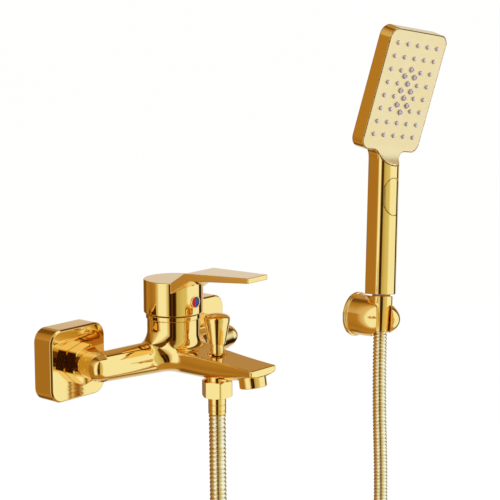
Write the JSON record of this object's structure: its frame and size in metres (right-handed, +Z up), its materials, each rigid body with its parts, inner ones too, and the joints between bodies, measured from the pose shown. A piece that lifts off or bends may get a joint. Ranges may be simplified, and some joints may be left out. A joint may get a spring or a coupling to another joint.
{
  "type": "wall mounted bath mixer with hand shower",
  "caption": "Wall mounted bath faucet in polished gold: single lever, pull-up diverter, flat spout, square covers, hose and a square hand shower on a wall bracket.",
  "frame": {"origin": "on the finished wall, midway between the axes of the two water inlets", "axes": "+X along the wall to the right as seen from the room, +Y into the wall, +Z up"},
  "size_m": [0.5225, 0.1714, 0.8306],
  "materials": {
    "gold_brass": "polished gold coating on brass",
    "raw_brass": "plain turned brass, hidden in use",
    "gold_steel_hose": "polished gold coating on a wound steel hose",
    "steel": "bright steel",
    "zinc": "plain die casting",
    "gold_plated_plastic": "polished gold plating on plastic",
    "satin_gold": "pale satin gold",
    "grey_silicone": "matt grey",
    "black_rubber": "matt black",
    "grey_plastic": "matt grey",
    "white_plastic": "matt white",
    "ceramic": "lapped ceramic",
    "red_plastic": "glossy red",
    "blue_plastic": "glossy blue"
  },
  "bodies": {
    "mixer": {"mixer_body": "gold_brass", "union_nut_left": "gold_brass", "union_nut_right": "gold_brass", "escutcheon_left": "gold_brass", "escutcheon_right": "gold_brass", "trim_ring": "gold_brass", "diverter_bonnet": "gold_brass", "aerator_housing": "gold_brass", "outlet_nipple": "gold_brass", "hose_nut": "gold_brass", "hose_ferrule": "gold_brass", "bracket_body": "gold_brass", "wall_union_left": "raw_brass", "wall_union_right": "raw_brass", "retaining_nut": "raw_brass", "shower_hose": "gold_steel_hose", "inlet_strainer_left": "steel", "inlet_strainer_right": "steel", "bracket_grub_screw": "steel", "bracket_base_plate": "zinc", "cartridge_seal": "black_rubber", "inlet_washer_left": "black_rubber", "inlet_washer_right": "black_rubber", "hose_washer": "black_rubber", "aerator_washer": "black_rubber", "aerator_insert": "grey_plastic", "cartridge_housing": "white_plastic", "fixed_disc": "ceramic"},
    "lever": {"handle": "gold_brass", "lever_stem": "steel", "handle_grub_screw": "steel", "indicator_hot": "red_plastic", "indicator_cold": "blue_plastic"},
    "turret": {"cartridge_carrier": "white_plastic", "stem_pin": "steel"},
    "disc": {"moving_disc": "ceramic"},
    "diverter": {"diverter_knob": "gold_brass", "diverter_rod": "steel", "diverter_plunger": "black_rubber"},
    "hose_end": {"hose_swivel": "raw_brass", "swivel_washer": "black_rubber"},
    "handset": {"handset_shell": "gold_plated_plastic", "handset_inlet": "raw_brass", "waterway_tube": "grey_plastic", "spray_plate": "satin_gold", "nozzle_mat": "grey_silicone", "water_chamber": "grey_plastic", "button_spring": "steel", "cone_nut": "gold_brass", "cone_washer": "grey_plastic"},
    "button": {"spray_button": "gold_plated_plastic"}
  },
  "joints": [
    {"name": "temperature", "type": "hinge", "parent": "mixer", "child": "turret", "pos_m": [0, -0.0572, 0.029], "axis": [0, 0, 1], "range_deg": [-45, 45]},
    {"name": "lever_tilt", "type": "hinge", "parent": "turret", "child": "lever", "pos_m": [0, -0.0572, 0.029], "axis": [-1, 0, 0], "range_deg": [0, 20]},
    {"name": "disc_slide", "type": "slide", "parent": "turret", "child": "disc", "axis": [0, -1, 0], "range_m": [0, 0.0062]},
    {"name": "diverter_pull", "type": "slide", "parent": "mixer", "child": "diverter", "axis": [0, 0, 1], "range_m": [0, 0.006], "stiffness_N_per_m": 60, "springref_m": -0.02},
    {"name": "handset_lift", "type": "slide", "parent": "mixer", "child": "hose_end", "axis": [0.137, 0.0819, 0.9872], "range_m": [0, 0.05]},
    {"name": "handset_turn", "type": "hinge", "parent": "hose_end", "child": "handset", "pos_m": [0.3353, -0.0315, -0.029], "axis": [0.137, 0.0819, 0.9872], "range_deg": [-12, 18]},
    {"name": "button_press", "type": "slide", "parent": "handset", "child": "button", "axis": [0.0613, 0.994, -0.091], "range_m": [0, 0.002], "stiffness_N_per_m": 800, "springref_m": -0.002}
  ],
  "couplings": [
    {"joint": "disc_slide", "follows": "lever_tilt", "m_per_rad": 0.0175}
  ]
}
